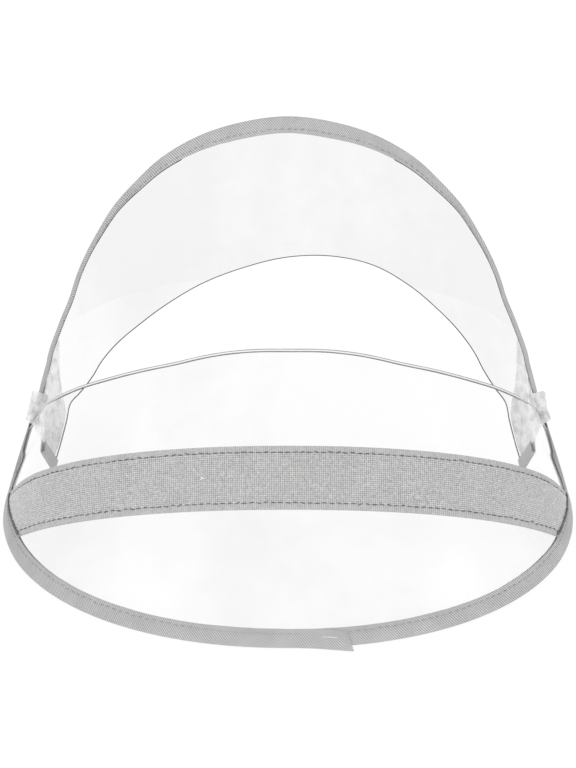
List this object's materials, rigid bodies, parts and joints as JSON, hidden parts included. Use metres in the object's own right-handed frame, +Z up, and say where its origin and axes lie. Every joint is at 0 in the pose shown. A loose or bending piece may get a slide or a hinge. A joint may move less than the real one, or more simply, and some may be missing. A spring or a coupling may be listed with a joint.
{
  "type": "rain bonnet",
  "caption": "Clear film rain visor bonnet: a wide front panel and a curved rear panel in one tape binding, open over the crown.",
  "frame": {"origin": "middle of the part's box, on the surface that the bonnet stands on", "axes": "+Z up, -Y the way the wearer faces, +X to the wearer's left"},
  "size_m": [0.2334, 0.2032, 0.1314],
  "materials": {
    "clear_film": "clear, glossy, soft film",
    "frosted_film": "milky, satin film",
    "twill_tape": "grey twill tape, matte",
    "hook_tape": "grey woven hook tape with ribbed edges, matte"
  },
  "bodies": {
    "root": {"front_panel": "clear_film", "rear_panel": "clear_film", "edge_binding": "twill_tape", "hook_band": "hook_tape", "side_loop_left": "frosted_film", "side_loop_right": "frosted_film", "end_tab_left": "twill_tape", "end_tab_right": "twill_tape"}
  },
  "joints": []
}
